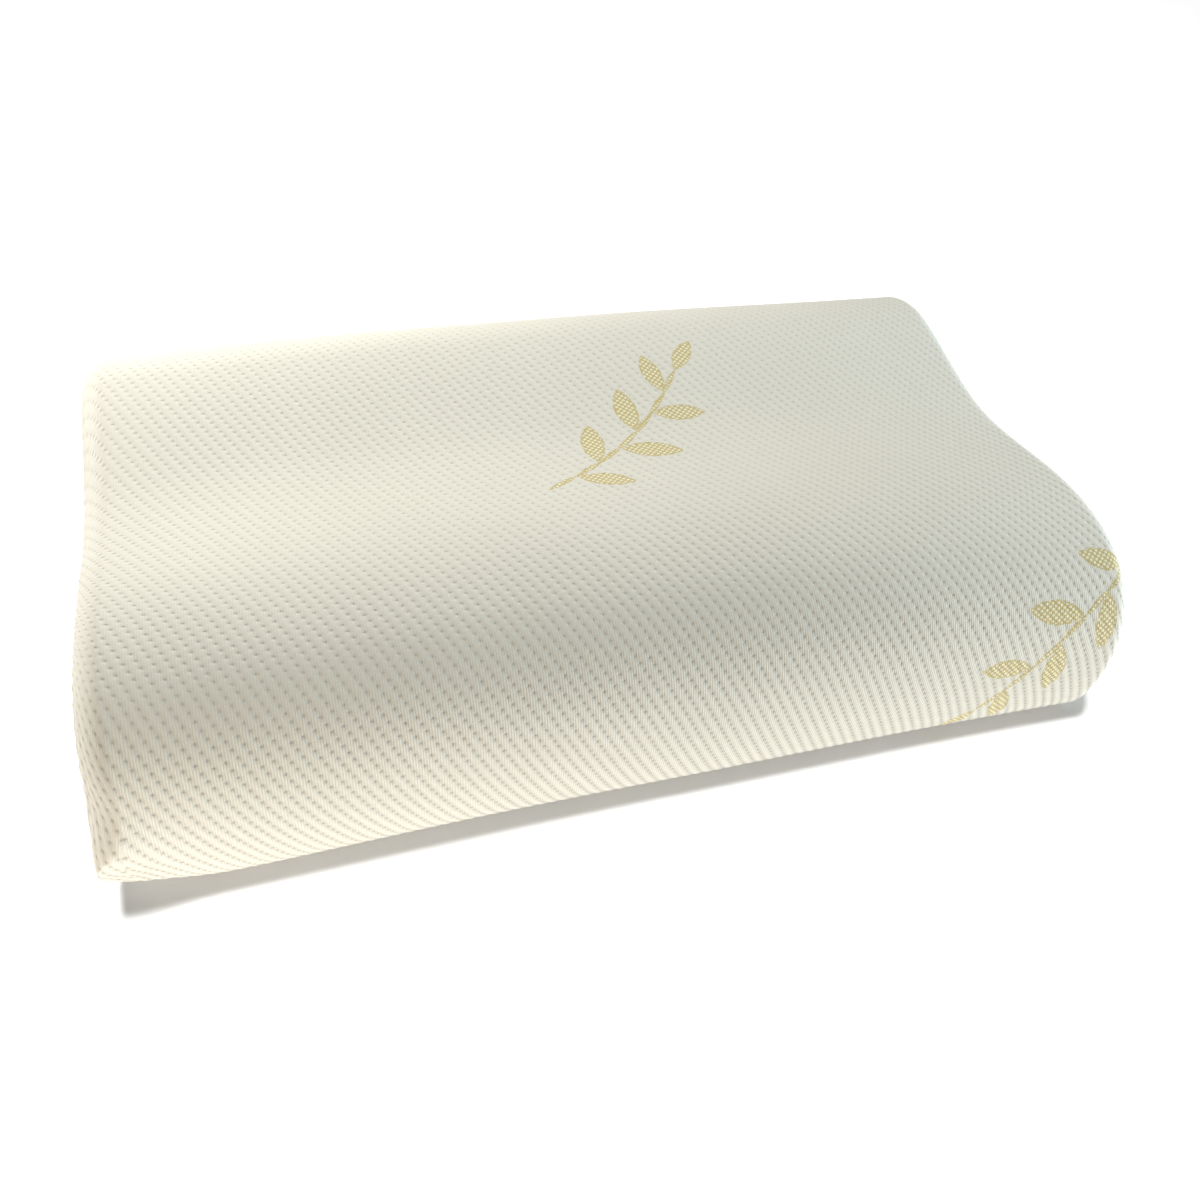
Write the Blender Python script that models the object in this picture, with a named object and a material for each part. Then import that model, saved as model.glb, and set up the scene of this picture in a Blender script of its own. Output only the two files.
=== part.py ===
"""A wave-shaped foam pillow in a fitted knitted cover, lying on its flat underside.

The pillow is one filled solid. Its section is a wave: a high roll along the front, a shallow dip,
and a lower roll along the back. The section is lofted along X between two rounded ends. The cover
keeps the foam's shape, apart from a small ear of spare cloth at the left front corner.

Metres, +Z up. The origin is the centre of the underside's box. -Y is the high roll's side.
"""

import math

import bmesh
import bpy

# Overall size
LENGTH = 0.500
DEPTH = 0.300
FRONT_HEIGHT = 0.1005
BACK_HEIGHT = 0.078
DIP_HEIGHT = 0.075

# The wave: how far the crests lie from their own faces, and the dip from the front face
FRONT_CREST = 0.066
DIP = 0.185
BACK_CREST = 0.052

# Faces: the height where they stand out most, and the fullness of each quarter of the outline
WIDEST_HEIGHT = 0.024
BASE_RADIUS = 0.014
FRONT_FULLNESS = 2.22
BACK_FULLNESS = 2.0
BASE_FULLNESS = 2.2

# Along the length: the top sinks and the faces spread towards the ends
CROWN = 0.006
FACE_DRAW = 0.0027

# Rounded ends: their depth along X, and how far the outline has shrunk at the end face
END_DEPTH = 0.015
END_SHRINK = 0.022
END_FULLNESS = 1.2
BASE_RADIUS_LOSS = 0.8

# The ear of spare cloth at the left front corner: it lifts off the floor, with a tuck above it
EAR_HEIGHT = 0.036
EAR_TALL = 0.021
EAR_WIDE = 0.017
EAR_REACH = 0.0115
EAR_LIFT = 0.024
EAR_LIFT_WIDE = 0.027
TUCK_HEIGHT = 0.066
TUCK_TALL = 0.009
TUCK_DEPTH = 0.0018

# Mesh fineness
QUARTER_STEPS = 24
WAVE_STEPS = 32
TOP_POINTS = 62
BASE_POINTS = 12
BODY_STATIONS = 21
END_STATIONS = 8

COVER_COLOUR = (0.82, 0.80, 0.71, 1.0)
COVER_ROUGHNESS = 0.92


def clear_scene():
    """Remove every object that the file opened with."""
    for obj in list(bpy.data.objects):
        bpy.data.objects.remove(obj, do_unlink=True)


def rise(foot, side, fullness):
    """Points of a quarter round that leaves foot level and ends at side upright."""
    points = []
    for step in range(QUARTER_STEPS + 1):
        angle = 0.5 * math.pi * step / QUARTER_STEPS
        out = math.sin(angle) ** (2.0 / fullness)
        up = 1.0 - math.cos(angle) ** (2.0 / fullness)
        points.append((foot[0] + (side[0] - foot[0]) * out, foot[1] + (side[1] - foot[1]) * up))
    return points


def shoulder(side, crest, fullness):
    """Points of a quarter round that leaves side upright and ends at crest level."""
    points = []
    for step in range(QUARTER_STEPS + 1):
        angle = 0.5 * math.pi * step / QUARTER_STEPS
        along = 1.0 - math.cos(angle) ** (2.0 / fullness)
        up = math.sin(angle) ** (2.0 / fullness)
        points.append((side[0] + (crest[0] - side[0]) * along, side[1] + (crest[1] - side[1]) * up))
    return points


def ease(start, end):
    """Points of a half wave between a crest and a dip, level at both."""
    points = []
    for step in range(WAVE_STEPS + 1):
        share = step / WAVE_STEPS
        blend = 0.5 - 0.5 * math.cos(math.pi * share)
        points.append((start[0] + (end[0] - start[0]) * share, start[1] + (end[1] - start[1]) * blend))
    return points


def even_points(points, count):
    """The same open line as count points, evenly spaced along it."""
    reach = [0.0]
    for before, after in zip(points, points[1:]):
        reach.append(reach[-1] + math.dist(before, after))
    evened = []
    leg = 0
    for step in range(count):
        target = reach[-1] * step / (count - 1)
        while leg < len(points) - 2 and reach[leg + 1] < target:
            leg += 1
        share = (target - reach[leg]) / max(reach[leg + 1] - reach[leg], 1e-12)
        before, after = points[leg], points[leg + 1]
        evened.append(tuple(b + (a - b) * share for b, a in zip(before, after)))
    return evened


def section(shrink, spread):
    """The closed outline in Y and Z. shrink draws it in all round; spread is 0 mid-length, 1 at an end."""
    draw = FACE_DRAW * (1.0 - spread ** 2)
    sink = CROWN * spread ** 2 + shrink
    front = -0.5 * DEPTH + shrink + draw
    back = 0.5 * DEPTH - shrink - draw
    radius = BASE_RADIUS * (1.0 - BASE_RADIUS_LOSS * shrink / END_SHRINK)

    front_foot = (front + radius, shrink)
    front_side = (front, WIDEST_HEIGHT)
    front_crest = (-0.5 * DEPTH + FRONT_CREST, FRONT_HEIGHT - sink)
    dip = (-0.5 * DEPTH + DIP, DIP_HEIGHT - sink)
    back_crest = (0.5 * DEPTH - BACK_CREST, BACK_HEIGHT - sink)
    back_side = (back, WIDEST_HEIGHT)
    back_foot = (back - radius, shrink)

    line = rise(front_foot, front_side, BASE_FULLNESS)
    line += shoulder(front_side, front_crest, FRONT_FULLNESS)[1:]
    line += ease(front_crest, dip)[1:]
    line += ease(dip, back_crest)[1:]
    line += shoulder(back_side, back_crest, BACK_FULLNESS)[::-1][1:]
    line += rise(back_foot, back_side, BASE_FULLNESS)[::-1][1:]

    base = even_points([back_foot, front_foot], BASE_POINTS + 2)
    return even_points(line, TOP_POINTS) + base[1:-1]


def stations():
    """X, shrink and spread of every section, from the left end face to the right one."""
    straight = 0.5 * LENGTH - END_DEPTH
    right_half = []
    for step in range(1, BODY_STATIONS // 2 + 1):
        share = step / (BODY_STATIONS // 2)
        right_half.append((straight * share, 0.0, share))
    for step in range(1, END_STATIONS + 1):
        angle = 0.5 * math.pi * step / END_STATIONS
        shrink = END_SHRINK * (1.0 - math.cos(angle) ** END_FULLNESS)
        right_half.append((straight + END_DEPTH * math.sin(angle), shrink, 1.0))
    left_half = [(-x, shrink, spread) for x, shrink, spread in reversed(right_half)]
    return left_half + [(0.0, 0.0, 0.0)] + right_half


def bell(distance, width):
    """A smooth bump, 1 at no distance and near 0 beyond twice the width."""
    return math.exp(-((distance / width) ** 2))


def with_ear(x, y, z):
    """A point of the surface after the left front corner's ear and tuck are drawn out."""
    edge_x, edge_y = -0.5 * LENGTH, -0.5 * DEPTH
    apart = math.hypot(x - edge_x, y - edge_y)
    near = bell(apart, EAR_WIDE)
    out = EAR_REACH * near * bell(z - EAR_HEIGHT, EAR_TALL) * math.sqrt(0.5)
    tuck = TUCK_DEPTH * near * bell(z - TUCK_HEIGHT, TUCK_TALL)
    new_x = max(edge_x, x - out) + tuck
    new_y = max(edge_y, y - out) + tuck
    lift = EAR_LIFT * bell(apart, EAR_LIFT_WIDE) * max(0.0, 1.0 - z / EAR_HEIGHT)
    return new_x, new_y, z + lift


def loft(name, outlines):
    """One closed mesh through the outlines, with its two end faces filled."""
    mesh = bpy.data.meshes.new(name)
    bm = bmesh.new()
    rings = [[bm.verts.new(point) for point in outline] for outline in outlines]
    count = len(rings[0])
    for left, right in zip(rings, rings[1:]):
        for i in range(count):
            j = (i + 1) % count
            bm.faces.new((left[i], left[j], right[j], right[i]))
    bm.faces.new(rings[0])
    bm.faces.new(rings[-1])
    bmesh.ops.recalc_face_normals(bm, faces=bm.faces)
    bmesh.ops.triangulate(bm, faces=bm.faces)
    bm.to_mesh(mesh)
    bm.free()
    mesh.shade_smooth()
    return mesh


def cover_material():
    """Cream knitted cloth."""
    material = bpy.data.materials.new("cream_knit")
    material.use_nodes = True
    shader = material.node_tree.nodes["Principled BSDF"]
    shader.inputs["Base Color"].default_value = COVER_COLOUR
    shader.inputs["Roughness"].default_value = COVER_ROUGHNESS
    shader.inputs["Metallic"].default_value = 0.0
    return material


def build_pillow(collection):
    """The filled cover as one solid."""
    outlines = []
    for x, shrink, spread in stations():
        outlines.append([with_ear(x, y, z) for y, z in section(shrink, spread)])
    mesh = loft("pillow", outlines)
    mesh.materials.append(cover_material())
    pillow = bpy.data.objects.new("pillow", mesh)
    collection.objects.link(pillow)
    return pillow


def main():
    clear_scene()
    collection = bpy.data.collections.new("contour_pillow")
    bpy.context.scene.collection.children.link(collection)
    build_pillow(collection)


main()
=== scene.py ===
"""Looks of the contour pillow: a fitted cream double-knit cover over a wave-shaped foam core."""

import math

import bpy
import numpy as np
from mathutils import Matrix, Vector


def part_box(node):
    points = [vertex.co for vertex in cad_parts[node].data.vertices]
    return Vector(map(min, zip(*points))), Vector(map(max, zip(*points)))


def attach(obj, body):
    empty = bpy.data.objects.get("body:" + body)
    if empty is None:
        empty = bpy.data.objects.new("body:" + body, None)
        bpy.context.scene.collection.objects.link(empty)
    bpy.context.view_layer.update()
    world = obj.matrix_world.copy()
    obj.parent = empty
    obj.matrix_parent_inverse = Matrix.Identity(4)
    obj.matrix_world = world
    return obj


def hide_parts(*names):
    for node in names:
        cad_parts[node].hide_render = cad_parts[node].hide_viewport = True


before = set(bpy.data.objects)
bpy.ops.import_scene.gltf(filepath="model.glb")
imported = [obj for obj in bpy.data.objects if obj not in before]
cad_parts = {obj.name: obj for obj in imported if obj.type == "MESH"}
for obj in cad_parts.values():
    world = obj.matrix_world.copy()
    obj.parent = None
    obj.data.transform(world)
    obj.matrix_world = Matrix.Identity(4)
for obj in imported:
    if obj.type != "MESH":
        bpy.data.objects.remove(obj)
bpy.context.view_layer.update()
MM_PER_M = 1000.0

# The camera, fitted to the photograph's outline and knit: metres, and image pixels for the focus
IMAGE_SIDE = 1200.0
FOCAL_PIXELS = 1059.4
SENSOR = 36.0
EYE = Vector((-0.1572, -0.3451, 0.4683))
VIEW_YAW = math.radians(26.65)
VIEW_PITCH = math.radians(52.92)
VIEW_ROLL = math.radians(13.24)

# The pillow's form, as in the solid
NODE = "pillow"
NODE_LOW, NODE_HIGH = (Vector(corner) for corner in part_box(NODE))
LENGTH = NODE_HIGH.x - NODE_LOW.x
DEPTH = 0.300
FRONT_HEIGHT = 0.1005
BACK_HEIGHT = 0.078
DIP_HEIGHT = 0.075
FRONT_CREST = 0.066
DIP = 0.185
BACK_CREST = 0.052
WIDEST_HEIGHT = 0.024
BASE_RADIUS = 0.014
FRONT_FULLNESS = 2.22
BACK_FULLNESS = 2.0
BASE_FULLNESS = 2.2
CROWN = 0.006
FACE_DRAW = 0.0027
END_DEPTH = 0.015
END_SHRINK = 0.022
END_FULLNESS = 1.2
BASE_RADIUS_LOSS = 0.8
EAR_HEIGHT = 0.036
EAR_TALL = 0.021
EAR_WIDE = 0.017
EAR_REACH = 0.0115
EAR_LIFT = 0.024
EAR_LIFT_WIDE = 0.027
TUCK_HEIGHT = 0.066
TUCK_TALL = 0.009
TUCK_DEPTH = 0.0018
HALF_STRAIGHT = 0.5 * LENGTH - END_DEPTH

# Mesh fineness of the cloth: points of each curve, metres between rings, and points round a ring
ARC_STEPS = 40
RING_SPACING = 0.00096
TOP_POINTS = 163
BASE_POINTS = 7
END_RINGS = 24

# For the faces' outer side: how many are tested, the height of the core's line, and a least length
FACES_TO_TEST = 2000
CORE_HEIGHT = 0.04
SHORTEST = 1e-12

# The cloth's coordinates: u runs along the pillow and round its ends on an arc of END_ARC, and v runs up the
# front face and over the top, as long as on the section at TYPICAL_SPREAD
TYPICAL_SPREAD = 0.6
END_ARC = 1.25 * END_DEPTH

# The knit, in millimetres of cloth: the two steps of its dimple lattice, its dimples and its fine ribs
DIMPLE_STEP_A = (4.76, 1.64)
DIMPLE_STEP_B = (1.80, -3.34)
RIB_PITCH = 1.145
COURSE_PITCH = 1.03
DIMPLE_WIDE = 0.70
DIMPLE_TALL = 0.62
BASIN_FALL = 0.2
BASIN_DEPTH = 0.55
# Painted shade: the colour is darkened in the shallow basin round each dimple
BASIN_PAINTED_SHADE = -0.025
COURSE_HEIGHT = 0.008
# Painted shade: the fine ribs' colour is darker in their grooves and lighter on their crests
RIB_GROOVE_PAINTED_SHADE = 0.014

# The cloth is stretched flat over the top and plump on the front face: pairs are for flat and plump cloth
PLUMP_BELOW = 0.075
FLAT_ABOVE = 0.135
WELT_HEIGHT = (0.00017, 0.00042)
DIMPLE_DEPTH = (0.24, 0.22)
# Painted shade: each dimple's colour is darkened where the hollow's shadow falls, more on the plump front
DIMPLE_PAINTED_SHADE = (-0.10, -0.24)
# Painted shade: the colour is darkened along the dimple lines, in the valleys between welts, more on the
# plump front
WELT_VALLEY_PAINTED_SHADE = (0.0, -0.075)
RIB_HEIGHT = (0.012, 0.05)

# Cloudy tone over the cloth and fuzz on its yarn: noise scale per metre, detail, and strengths
CLOUD_SCALE = 14.0
CLOUD_DETAIL = 4.0
CLOUD_SHADE = 0.05
FUZZ_SCALE = 900.0
FUZZ_DETAIL = 2.0
FUZZ_SHADE = 0.06
FUZZ_HEIGHT = 0.05

# The cloth is drawn together along its rows near the left end
GATHER_START = -0.150
GATHER_LENGTH = 0.080
GATHER_ROW = 0.195
GATHER_SPREAD = 0.060
GATHER_SHIFT = 0.0085

# The end seams: where they lie round the end, the groove that the stitching pulls, and uneven puckers
SEAM_ANGLE = math.radians(79.0)
SEAM_WIDTH = 0.0016
SEAM_DEPTH = 0.0011
PUCKER_PITCH = 0.0085
PUCKER_REACH = 0.012
PUCKER_DEPTH = 0.0004
PUCKER_SWAY = 1.7
PUCKER_SWAY_TURN = 31.0

# The cloth's slight unevenness: its height, and two waves' turns in u and v, in radians per metre, and start
SOFT_DRIFT = 0.0004
DRIFT_WAVES = ((23.0, 9.0, 0.6), (-7.0, 31.0, 1.1))

# Colours, linear, and finish
CREAM = (0.80, 0.775, 0.685, 1.0)
GOLD_NET = (0.64, 0.53, 0.25, 1.0)
GOLD_CELL = (0.92, 0.88, 0.68, 1.0)
CLOTH_FINISH = {
    "Roughness": 0.93,
    "Specular IOR Level": 0.18,
    "Sheen Weight": 0.12,
    "Sheen Roughness": 0.5,
    "Sheen Tint": (1.0, 0.98, 0.93, 1.0),
}

# Woven sprig, in millimetres of cloth; its foot is measured from the point that it's half-turned about
SPRIG_CENTRE = (114.0, 163.5)
SPRIG_FOOT = (-148.0, 45.5)
SPRIG_LEAVES = 7
SPRIG_LENGTH = 128.0
SPRIG_BEND = 0.25
SPRIG_ANGLE = math.radians(44.0)
STEM_WIDTH = 1.6
LEAF_LENGTH = 33.0
LEAF_WIDTH = 13.0
LEAF_ANGLE = math.radians(50.0)
LEAF_STALK = 1.5

# Leaves grow smaller away from the largest one, and a stem piece's half length is a share of a leaf's step
LEAF_TAPER = 0.35
LARGEST_LEAF_AT = 0.35
STEM_OVERLAP = 0.62

# Its weave: soft edge, plain margin and border in millimetres from the leaf's edge, cells and relief
SPRIG_EDGE = 0.25
SPRIG_MARGIN = (0.4, 2.4)
BORDER = (-0.9, -0.3)
CELL_WIDTH = 3.0 * RIB_PITCH
CELL_TALL = 3.0 * COURSE_PITCH
CELL_EDGE = (-0.05, 0.35)
GOLD_RELIEF = 0.10

# Lights: place in metres, size, power and colour; and the floor and surround
KEY = ((-0.414, 0.549, 0.500), 0.65, 8.8, (1.0, 0.99, 0.95))
RIGHT_FILL = ((1.400, -0.375, 0.388), 0.50, 20.0, (0.85, 1.0, 1.12))
FRONT_FILL = ((0.638, -0.708, 0.550), 0.50, 1.8, (1.12, 1.0, 0.75))
LEFT_FILL = ((-0.410, -0.460, 0.085), 0.15, 0.82, (1.12, 1.0, 0.85))
FLOOR_LIGHT = ((-0.35, 0.20, 3.0), 0.40, 106.0, (1.0, 1.0, 1.0))
LIGHT_AIM = Vector((0.0, 0.0, 0.05))
FLOOR_HALF = 6.0
PAPER_FINISH = {
    "Base Color": (0.93, 0.93, 0.93, 1.0),
    "Emission Color": (1.0, 1.0, 1.0, 1.0),
    "Emission Strength": 0.18,
    "Roughness": 0.9,
    "Specular IOR Level": 0.1,
}
SURROUND = (0.93, 0.94, 0.95, 1.0)
SURROUND_LIGHT = 0.02


def smooth_bell(distance, width):
    """A smooth bump, 1 at no distance and near 0 beyond twice the width."""
    return np.exp(-((distance / width) ** 2))


def quarter(start, end, fullness, upright_first):
    """Points of a quarter round from start to end, leaving start upright or level."""
    angle = np.linspace(0.0, 0.5 * math.pi, ARC_STEPS)
    grow = np.sin(angle) ** (2.0 / fullness)
    lag = 1.0 - np.cos(angle) ** (2.0 / fullness)
    along, up = (lag, grow) if upright_first else (grow, lag)
    return np.stack([start[0] + (end[0] - start[0]) * along, start[1] + (end[1] - start[1]) * up], axis=1)


def ease(start, end):
    """Points of a half wave between a crest and a dip, level at both."""
    share = np.linspace(0.0, 1.0, ARC_STEPS)
    blend = 0.5 - 0.5 * np.cos(math.pi * share)
    return np.stack([start[0] + (end[0] - start[0]) * share, start[1] + (end[1] - start[1]) * blend], axis=1)


def even_points(points, count):
    """The same open line as count points, evenly spaced along it, and its length."""
    steps = np.linalg.norm(np.diff(points, axis=0), axis=1)
    reach = np.concatenate([[0.0], np.cumsum(steps)])
    targets = np.linspace(0.0, reach[-1], count)
    even = np.stack([np.interp(targets, reach, points[:, axis]) for axis in range(2)], axis=1)
    return even, reach[-1]


def section(shrink, spread):
    """The closed outline in Y and Z, and the length of its upper line. Spread is the share of the way from
    the middle to an end, and shrink is how far the end's rounding draws the outline in."""
    draw = FACE_DRAW * (1.0 - spread**2)
    sink = CROWN * spread**2 + shrink
    front = -0.5 * DEPTH + shrink + draw
    back = 0.5 * DEPTH - shrink - draw
    radius = BASE_RADIUS * (1.0 - BASE_RADIUS_LOSS * shrink / END_SHRINK)
    front_foot = (front + radius, shrink)
    front_side = (front, WIDEST_HEIGHT)
    front_crest = (-0.5 * DEPTH + FRONT_CREST, FRONT_HEIGHT - sink)
    dip = (-0.5 * DEPTH + DIP, DIP_HEIGHT - sink)
    back_crest = (0.5 * DEPTH - BACK_CREST, BACK_HEIGHT - sink)
    back_side = (back, WIDEST_HEIGHT)
    back_foot = (back - radius, shrink)
    line = np.concatenate([
        quarter(front_foot, front_side, BASE_FULLNESS, False),
        quarter(front_side, front_crest, FRONT_FULLNESS, True)[1:],
        ease(front_crest, dip)[1:],
        ease(dip, back_crest)[1:],
        quarter(back_side, back_crest, BACK_FULLNESS, True)[::-1][1:],
        quarter(back_foot, back_side, BASE_FULLNESS, False)[::-1][1:],
    ])
    top, top_length = even_points(line, TOP_POINTS)
    base, _ = even_points(np.array([back_foot, front_foot]), BASE_POINTS + 2)
    return np.concatenate([top, base[1:-1]]), top_length


def stations():
    """X, shrink, spread and end angle of every ring, from the left end to the right one."""
    body_rings = 2 * round(HALF_STRAIGHT / RING_SPACING)
    rows = []
    for step in range(body_rings + 1):
        share = 2.0 * step / body_rings - 1.0
        rows.append((HALF_STRAIGHT * share, 0.0, abs(share), 0.0))
    for step in range(1, END_RINGS + 1):
        angle = 0.5 * math.pi * step / END_RINGS
        shrink = END_SHRINK * (1.0 - math.cos(angle) ** END_FULLNESS)
        x = HALF_STRAIGHT + END_DEPTH * math.sin(angle)
        rows.append((x, shrink, 1.0, angle))
        rows.insert(0, (-x, shrink, 1.0, angle))
    return rows


def with_ear(points):
    """The points after the left front corner's ear and tuck are drawn out."""
    edge_x, edge_y = -0.5 * LENGTH, -0.5 * DEPTH
    x, y, z = points[..., 0], points[..., 1], points[..., 2]
    apart = np.hypot(x - edge_x, y - edge_y)
    near = smooth_bell(apart, EAR_WIDE)
    out = EAR_REACH * near * smooth_bell(z - EAR_HEIGHT, EAR_TALL) * math.sqrt(0.5)
    tuck = TUCK_DEPTH * near * smooth_bell(z - TUCK_HEIGHT, TUCK_TALL)
    lift = EAR_LIFT * smooth_bell(apart, EAR_LIFT_WIDE) * np.maximum(0.0, 1.0 - z / EAR_HEIGHT)
    drawn_x = np.maximum(edge_x, x - out) + tuck
    drawn_y = np.maximum(edge_y, y - out) + tuck
    return np.stack([drawn_x, drawn_y, z + lift], axis=-1)


def cloth_rows(x, v):
    """The cloth's own row coordinate, with its rows drawn together near the left end."""
    pull = np.clip((GATHER_START - x) / GATHER_LENGTH, 0.0, None) ** 2
    away = (v - GATHER_ROW) / GATHER_SPREAD
    return v + GATHER_SHIFT * pull * away * np.exp(0.5 - 0.5 * away**2)


def lattice_inverse():
    """The matrix that turns millimetres of cloth into steps of the dimple lattice."""
    steps = np.array([DIMPLE_STEP_A, DIMPLE_STEP_B]).T
    return np.linalg.inv(steps)


def grid_normals(points):
    """Outward unit normals of a grid of rings that close round."""
    along = np.gradient(points, axis=0)
    around = np.roll(points, -1, axis=1) - np.roll(points, 1, axis=1)
    normals = np.cross(along, around)
    normals /= np.maximum(np.linalg.norm(normals, axis=2, keepdims=True), SHORTEST)
    centre = points.mean(axis=(0, 1))
    if ((points - centre) * normals).sum() < 0.0:
        normals = -normals
    return normals


def cover_grid():
    """Rings of points of the cover, the cloth coordinates of each in metres, and each ring's end angle."""
    rows = stations()
    outlines = []
    for x, shrink, spread, _ in rows:
        outline, _ = section(shrink, spread)
        outlines.append(np.column_stack([np.full(len(outline), x), outline]))
    points = with_ear(np.array(outlines))

    _, top_length = section(0.0, TYPICAL_SPREAD)
    base_gap = (DEPTH - 2.0 * BASE_RADIUS) / (BASE_POINTS + 1)
    top_v = np.linspace(0.0, top_length, TOP_POINTS)
    base_v = top_length + base_gap * np.arange(1, BASE_POINTS + 1)
    v = np.broadcast_to(np.concatenate([top_v, base_v]), points.shape[:2])
    angle = np.array([row[3] for row in rows])
    side = np.sign(points[:, :1, 0])
    bend = END_ARC * angle[:, None]
    u = np.where(angle[:, None] > 0.0, side * (HALF_STRAIGHT + bend), points[..., 0])
    u = np.broadcast_to(u, v.shape)
    return points, u, cloth_rows(u, v), angle


def relief(u, v, angle):
    """Height of the cloth above the foam: welts between dimple lines, the end seams and soft puckers."""
    inverse = lattice_inverse()
    line = (inverse[0, 0] * u + inverse[0, 1] * v) * MM_PER_M
    welt = 0.5 - 0.5 * np.cos(2.0 * math.pi * line)
    fade = np.clip(1.0 - angle / SEAM_ANGLE, 0.0, 1.0)[:, None]
    plump = np.clip((FLAT_ABOVE - v) / (FLAT_ABOVE - PLUMP_BELOW), 0.0, 1.0)
    plump = plump * plump * (3.0 - 2.0 * plump)
    height = (WELT_HEIGHT[0] + (WELT_HEIGHT[1] - WELT_HEIGHT[0]) * plump) * (welt - 0.5) * fade

    past_seam = END_ARC * np.abs(angle - SEAM_ANGLE)[:, None]
    height = height - SEAM_DEPTH * smooth_bell(past_seam, SEAM_WIDTH)
    wave = np.sin(2.0 * math.pi * v / PUCKER_PITCH + PUCKER_SWAY * np.sin(PUCKER_SWAY_TURN * v))
    height = height + PUCKER_DEPTH * wave * smooth_bell(past_seam, PUCKER_REACH)

    first, second = (np.sin(turn_u * u + turn_v * v + start) for turn_u, turn_v, start in DRIFT_WAVES)
    drift = first * second
    return height + SOFT_DRIFT * drift * fade


def cloth_corners(points, u, v):
    """Cloth coordinates of every face's corners, in the order of the faces. Each face takes them on its own
    side of the hidden joint at the front foot, and the two flat ends take Y and Z."""
    round_v = v[:, -1:] + (v[:, -1:] - v[:, -2:-1])
    v_next = np.concatenate([v[:, 1:], round_v], axis=1)
    corner_u = np.stack([u[:-1], u[:-1], u[1:], u[1:]], axis=-1)
    corner_v = np.stack([v[:-1], v_next[:-1], v_next[1:], v[1:]], axis=-1)
    around = np.stack([corner_u, corner_v], axis=-1).reshape(-1, 2)
    return np.concatenate([around, points[0][::-1, 1:], points[-1][:, 1:]])


def build_cover():
    """The closed cover mesh with its cloth coordinates as a UV map in metres."""
    points, u, v, angle = cover_grid()
    height = relief(u, v, angle)
    height[:, TOP_POINTS - 1 :] = 0.0
    height[:, 0] = 0.0
    points = points + grid_normals(points) * height[..., None]

    rings, around = points.shape[:2]
    index = np.arange(rings * around).reshape(rings, around)
    left = index[:-1]
    right = index[1:]
    quads = np.stack([left, np.roll(left, -1, axis=1), np.roll(right, -1, axis=1), right], axis=-1)
    faces = [tuple(face) for face in quads.reshape(-1, 4).tolist()]
    faces.append(tuple(index[0][::-1].tolist()))
    faces.append(tuple(index[-1].tolist()))

    mesh = bpy.data.meshes.new("pillow_cover")
    mesh.from_pydata(points.reshape(-1, 3).tolist(), [], faces)
    layer = mesh.uv_layers.new(name="cloth")
    layer.data.foreach_set("uv", cloth_corners(points, u, v).ravel())
    mesh.shade_smooth()
    if mesh.validate():
        raise ValueError("the cover mesh has faults")
    cover = bpy.data.objects.new("pillow_cover", mesh)
    bpy.context.scene.collection.objects.link(cover)
    make_outward(cover)
    return cover


def make_outward(piece):
    """Turns the faces out if those nearest the left end face the line through the pillow's core."""
    mesh = piece.data
    outward = 0.0
    for polygon in mesh.polygons[:FACES_TO_TEST]:
        core = Vector((polygon.center.x, 0.0, CORE_HEIGHT))
        outward += polygon.normal.dot(polygon.center - core)
    if outward < 0.0:
        mesh.flip_normals()


class Graph:
    """Short ways to add shader nodes to one material."""

    def __init__(self, name):
        self.material = bpy.data.materials.new(name)
        self.material.use_nodes = True
        self.tree = self.material.node_tree
        self.shader = self.tree.nodes["Principled BSDF"]

    def node(self, kind, inputs=(), **settings):
        """A new node with its settings and inputs, in order."""
        made = self.tree.nodes.new(kind)
        for key, value in settings.items():
            setattr(made, key, value)
        for socket, value in zip(made.inputs, inputs):
            self.feed(socket, value)
        return made

    def feed(self, socket, value):
        """Links an output to a socket, or sets its value."""
        if isinstance(value, bpy.types.NodeSocket):
            self.tree.links.new(value, socket)
        elif value is not None:
            socket.default_value = value

    def set_shader(self, values):
        """Sets the shader's own values from a table of socket names."""
        for name, value in values.items():
            self.feed(self.shader.inputs[name], value)

    def math(self, operation, *inputs):
        """The result of a math node."""
        return self.node("ShaderNodeMath", inputs, operation=operation).outputs[0]

    def vector(self, operation, *inputs):
        """A vector math node."""
        return self.node("ShaderNodeVectorMath", inputs, operation=operation)

    def weighted(self, a, weight_a, b, weight_b):
        """a * weight_a + b * weight_b."""
        return self.math("MULTIPLY_ADD", a, weight_a, self.math("MULTIPLY", b, weight_b))

    def wave(self, value, pitch):
        """A cosine of the value, from -1 to 1, with the pitch given."""
        return self.math("COSINE", self.math("MULTIPLY", value, 2.0 * math.pi / pitch))

    def ramp(self, value, low, high, out_low=0.0, out_high=1.0):
        """A smooth step of the value from low to high."""
        made = self.node("ShaderNodeMapRange", (value, low, high, out_low, out_high))
        made.interpolation_type = "SMOOTHSTEP"
        return made.outputs[0]

    def noise(self, place, scale, detail):
        """A soft noise over the place's first two coordinates."""
        made = self.node("ShaderNodeTexNoise", noise_dimensions="2D")
        self.feed(made.inputs["Vector"], place)
        self.feed(made.inputs["Scale"], scale)
        self.feed(made.inputs["Detail"], detail)
        return made.outputs[0]

    def mix(self, factor, first, second, blend="MIX"):
        """A colour mix."""
        made = self.node("ShaderNodeMix", data_type="RGBA", blend_type=blend)
        self.feed(made.inputs["Factor"], factor)
        self.feed(made.inputs["A"], first)
        self.feed(made.inputs["B"], second)
        return made.outputs["Result"]


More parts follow.
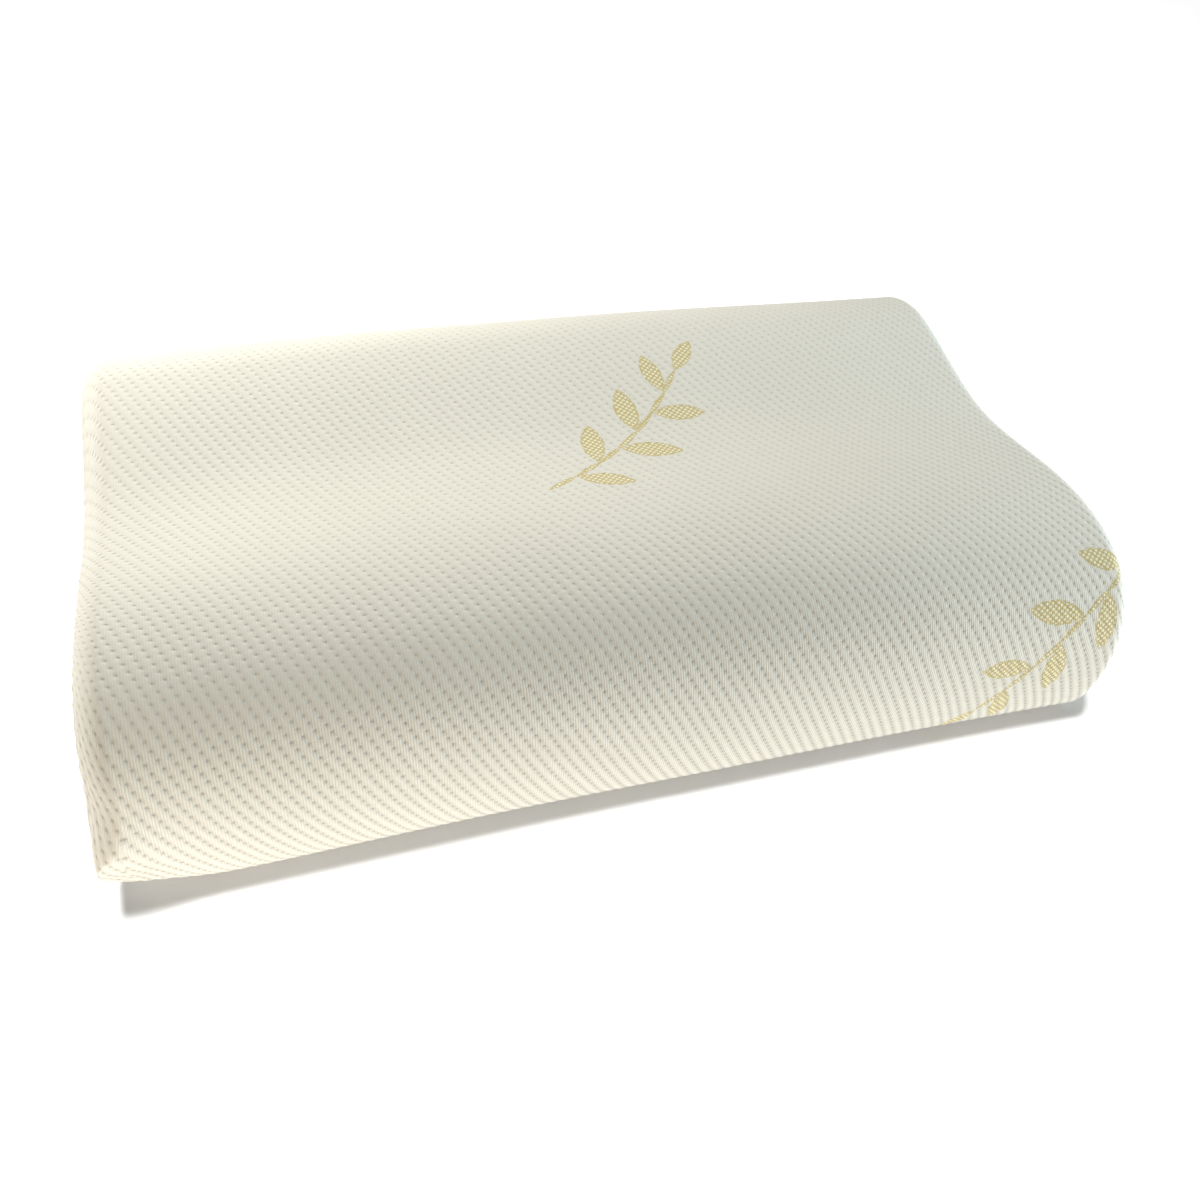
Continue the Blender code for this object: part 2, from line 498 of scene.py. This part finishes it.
def sprig_leaves():
    """Centre, direction, half length and half width of each leaf and stem piece, from the sprig's foot."""
    shapes = []
    heading = SPRIG_ANGLE - SPRIG_BEND
    x, y = 0.0, 0.0
    step = SPRIG_LENGTH / SPRIG_LEAVES
    for number in range(SPRIG_LEAVES):
        share = number / (SPRIG_LEAVES - 1)
        mid_x = x + 0.5 * step * math.cos(heading)
        mid_y = y + 0.5 * step * math.sin(heading)
        shapes.append((mid_x, mid_y, heading, STEM_OVERLAP * step, STEM_WIDTH))
        x += step * math.cos(heading)
        y += step * math.sin(heading)
        half = 0.5 * (1.0 - LEAF_TAPER * abs(share - LARGEST_LEAF_AT))
        last = number == SPRIG_LEAVES - 1
        turn = 0.0 if last else (LEAF_ANGLE if number % 2 else -LEAF_ANGLE)
        angle = heading + turn
        reach = half * LEAF_LENGTH + LEAF_STALK
        leaf_x = x + reach * math.cos(angle)
        leaf_y = y + reach * math.sin(angle)
        shapes.append((leaf_x, leaf_y, angle, half * LEAF_LENGTH, half * LEAF_WIDTH))
        heading += 2.0 * SPRIG_BEND / SPRIG_LEAVES
    return shapes


def sprig_distance(graph, u, v):
    """Distance outside the nearest leaf or stem, in whole stitches. It, u and v are in millimetres."""
    below = graph.math("LESS_THAN", v, SPRIG_CENTRE[1])
    turned = graph.math("MULTIPLY_ADD", below, -2.0, 1.0)
    across = graph.math("MULTIPLY", graph.math("SUBTRACT", u, SPRIG_CENTRE[0]), turned)
    up = graph.math("ABSOLUTE", graph.math("SUBTRACT", v, SPRIG_CENTRE[1]))
    stitch_u = graph.math("SNAP", graph.math("SUBTRACT", across, SPRIG_FOOT[0]), RIB_PITCH)
    stitch_v = graph.math("SNAP", graph.math("SUBTRACT", up, SPRIG_FOOT[1]), COURSE_PITCH)
    place = graph.node("ShaderNodeCombineXYZ", (stitch_u, stitch_v, 0.0)).outputs[0]
    nearest = None
    for x, y, angle, half_length, half_width in sprig_leaves():
        radius = (half_length**2 + half_width**2) / (2.0 * half_width)
        offset = radius - half_width
        side_x, side_y = -math.sin(angle) * offset, math.cos(angle) * offset
        first = graph.vector("DISTANCE", place, (x + side_x, y + side_y, 0.0)).outputs["Value"]
        second = graph.vector("DISTANCE", place, (x - side_x, y - side_y, 0.0)).outputs["Value"]
        outside = graph.math("SUBTRACT", graph.math("MAXIMUM", first, second), radius)
        nearest = outside if nearest is None else graph.math("MINIMUM", nearest, outside)
    return nearest


def knit_material(name):
    """Cream double knit: dimples on a slanted lattice, soft welts between them, and fine ribs. Painted shade
    darkens the colour in the dimples, their basins, the valleys between welts and the rib grooves.
    """
    graph = Graph(name)
    cloth = graph.node("ShaderNodeUVMap", uv_map="cloth").outputs[0]
    cloth_mm = graph.vector("SCALE", cloth)
    cloth_mm.inputs["Scale"].default_value = MM_PER_M
    split = graph.node("ShaderNodeSeparateXYZ", (cloth_mm.outputs[0],))
    u, v = split.outputs[0], split.outputs[1]

    inverse = lattice_inverse()
    line = graph.weighted(u, inverse[0, 0], v, inverse[0, 1])
    rank = graph.weighted(u, inverse[1, 0], v, inverse[1, 1])
    off_line = graph.math("SUBTRACT", line, graph.math("ROUND", line))
    off_rank = graph.math("SUBTRACT", rank, graph.math("ROUND", rank))
    wide_a, wide_b = DIMPLE_STEP_A[0] / DIMPLE_WIDE, DIMPLE_STEP_B[0] / DIMPLE_WIDE
    tall_a, tall_b = DIMPLE_STEP_A[1] / DIMPLE_TALL, DIMPLE_STEP_B[1] / DIMPLE_TALL
    away_u = graph.weighted(off_line, wide_a, off_rank, wide_b)
    away_v = graph.weighted(off_line, tall_a, off_rank, tall_b)
    away = graph.math("MULTIPLY_ADD", away_u, away_u, graph.math("MULTIPLY", away_v, away_v))
    pit = graph.math("EXPONENT", graph.math("MULTIPLY", away, -1.0))
    basin = graph.math("EXPONENT", graph.math("MULTIPLY", away, -BASIN_FALL))

    rib = graph.wave(u, RIB_PITCH)
    course = graph.wave(v, COURSE_PITCH)
    welt = graph.wave(line, 1.0)

    cloud = graph.noise(cloth, CLOUD_SCALE, CLOUD_DETAIL)
    fuzz = graph.noise(cloth, FUZZ_SCALE, FUZZ_DETAIL)

    plump = graph.ramp(v, MM_PER_M * FLAT_ABOVE, MM_PER_M * PLUMP_BELOW)

    def stretched(pair):
        """A strength that goes from the pair's first value on flat cloth to its second on plump cloth."""
        return graph.math("MULTIPLY_ADD", plump, pair[1] - pair[0], pair[0])

    outside = sprig_distance(graph, u, v)
    mask = graph.ramp(outside, SPRIG_EDGE, -SPRIG_EDGE)
    border = graph.ramp(outside, *BORDER)
    plain = graph.ramp(outside, *SPRIG_MARGIN)
    pit = graph.math("MULTIPLY", pit, plain)
    basin = graph.math("MULTIPLY", basin, plain)

    # Painted shade in the dimples, their basins, the rib grooves and the welt valleys, then random cloudy
    # tone and yarn fuzz
    painted_shade_and_tone = graph.math("MULTIPLY_ADD", pit, stretched(DIMPLE_PAINTED_SHADE), 1.0)
    painted_shade_and_tone = graph.math("MULTIPLY_ADD", basin, BASIN_PAINTED_SHADE, painted_shade_and_tone)
    painted_shade_and_tone = graph.math("MULTIPLY_ADD", rib, RIB_GROOVE_PAINTED_SHADE, painted_shade_and_tone)
    painted_shade_and_tone = graph.math("MULTIPLY_ADD", welt, stretched(WELT_VALLEY_PAINTED_SHADE), painted_shade_and_tone)
    painted_shade_and_tone = graph.math("MULTIPLY_ADD", cloud, CLOUD_SHADE, graph.math("SUBTRACT", painted_shade_and_tone, 0.5 * CLOUD_SHADE))
    painted_shade_and_tone = graph.math("MULTIPLY_ADD", fuzz, FUZZ_SHADE, graph.math("SUBTRACT", painted_shade_and_tone, 0.5 * FUZZ_SHADE))

    yarn = graph.math("MULTIPLY", graph.wave(u, CELL_WIDTH), graph.wave(v, CELL_TALL))
    cell = graph.math("MULTIPLY", graph.ramp(yarn, *CELL_EDGE), graph.math("SUBTRACT", 1.0, border))
    gold = graph.mix(cell, GOLD_NET, GOLD_CELL)
    colour = graph.mix(mask, CREAM, gold)
    grey = graph.node("ShaderNodeCombineColor", (painted_shade_and_tone, painted_shade_and_tone, painted_shade_and_tone)).outputs[0]
    colour = graph.mix(1.0, colour, grey, "MULTIPLY")
    graph.feed(graph.shader.inputs["Base Color"], colour)

    hollow = graph.math("MULTIPLY_ADD", basin, BASIN_DEPTH, pit)
    height = graph.math("MULTIPLY", hollow, graph.math("MULTIPLY", stretched(DIMPLE_DEPTH), -1.0))
    height = graph.math("MULTIPLY_ADD", rib, stretched(RIB_HEIGHT), height)
    height = graph.math("MULTIPLY_ADD", course, COURSE_HEIGHT, height)
    height = graph.math("MULTIPLY_ADD", border, graph.math("MULTIPLY", mask, -GOLD_RELIEF), height)
    height = graph.math("MULTIPLY_ADD", cell, graph.math("MULTIPLY", mask, GOLD_RELIEF), height)
    height = graph.math("MULTIPLY_ADD", fuzz, FUZZ_HEIGHT, height)
    bump = graph.node("ShaderNodeBump")
    graph.feed(bump.inputs["Strength"], 1.0)
    graph.feed(bump.inputs["Distance"], 1.0 / MM_PER_M)
    graph.feed(bump.inputs["Height"], height)
    graph.feed(graph.shader.inputs["Normal"], bump.outputs[0])
    graph.set_shader(CLOTH_FINISH)
    return graph.material


def floor_material():
    """Plain near-white backdrop, faintly lit from below like a light table."""
    graph = Graph("backdrop_paper")
    graph.set_shader(PAPER_FINISH)
    return graph.material


def add_floor():
    """A wide plain floor at the height that the pillow rests on."""
    low, high = -FLOOR_HALF, FLOOR_HALF
    mesh = bpy.data.meshes.new("floor")
    corners = [(low, low, 0.0), (high, low, 0.0), (high, high, 0.0), (low, high, 0.0)]
    mesh.from_pydata(corners, [], [(0, 1, 2, 3)])
    mesh.materials.append(floor_material())
    floor = bpy.data.objects.new("floor", mesh)
    bpy.context.scene.collection.objects.link(floor)
    return floor


def add_camera():
    """The photograph's camera, from its place and its yaw, pitch and roll."""
    ahead = Vector((
        math.sin(VIEW_YAW) * math.cos(VIEW_PITCH),
        math.cos(VIEW_YAW) * math.cos(VIEW_PITCH),
        -math.sin(VIEW_PITCH),
    ))
    level = Vector((math.cos(VIEW_YAW), -math.sin(VIEW_YAW), 0.0))
    upright = level.cross(ahead)
    right = level * math.cos(VIEW_ROLL) + upright * math.sin(VIEW_ROLL)
    up = right.cross(ahead)
    camera_data = bpy.data.cameras.new("camera")
    camera_data.sensor_width = SENSOR
    camera_data.lens = FOCAL_PIXELS * SENSOR / IMAGE_SIDE
    camera = bpy.data.objects.new("camera", camera_data)
    camera.matrix_world = Matrix.Translation(EYE) @ Matrix((right, up, -ahead)).transposed().to_4x4()
    bpy.context.scene.collection.objects.link(camera)
    bpy.context.scene.camera = camera


def add_area_light(name, lit, place, size, power, colour):
    """A soft square light at place that faces the pillow and lights the lit object alone."""
    light = bpy.data.lights.new(name, "AREA")
    light.shape = "SQUARE"
    light.size = size
    light.energy = power
    light.color = colour
    lamp = bpy.data.objects.new(name, light)
    lamp.location = place
    lamp.rotation_euler = (LIGHT_AIM - Vector(place)).to_track_quat("-Z", "Y").to_euler()
    bpy.context.scene.collection.objects.link(lamp)
    receivers = bpy.data.collections.new(name + "_receivers")
    receivers.objects.link(lit)
    lamp.light_linking.receiver_collection = receivers


def add_lights(cover, floor):
    """A soft key from the back left, fills from the right, the front and low at the front left, and one
    overhead for the floor, so that it's white up to the pillow's narrow shadow."""
    add_area_light("key", cover, *KEY)
    add_area_light("right_fill", cover, *RIGHT_FILL)
    add_area_light("front_fill", cover, *FRONT_FILL)
    add_area_light("left_fill", cover, *LEFT_FILL)
    add_area_light("floor_light", floor, *FLOOR_LIGHT)


def add_surround():
    """A pale backdrop all round that the camera sees, and that gives almost no light."""
    world = bpy.data.worlds.new("surround")
    world.use_nodes = True
    tree = world.node_tree
    background = tree.nodes["Background"]
    background.inputs["Color"].default_value = SURROUND
    seen = tree.nodes.new("ShaderNodeLightPath")
    strength = tree.nodes.new("ShaderNodeMath")
    strength.operation = "MAXIMUM"
    strength.inputs[1].default_value = SURROUND_LIGHT
    tree.links.new(seen.outputs["Is Camera Ray"], strength.inputs[0])
    tree.links.new(strength.outputs[0], background.inputs["Strength"])
    bpy.context.scene.world = world
    bpy.context.scene.view_settings.view_transform = "Standard"


add_camera()
cover = build_cover()
cover.data.materials.append(knit_material("cream_knit_wrap"))
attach(cover, "root")
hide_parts(NODE)
add_lights(cover, add_floor())
add_surround()
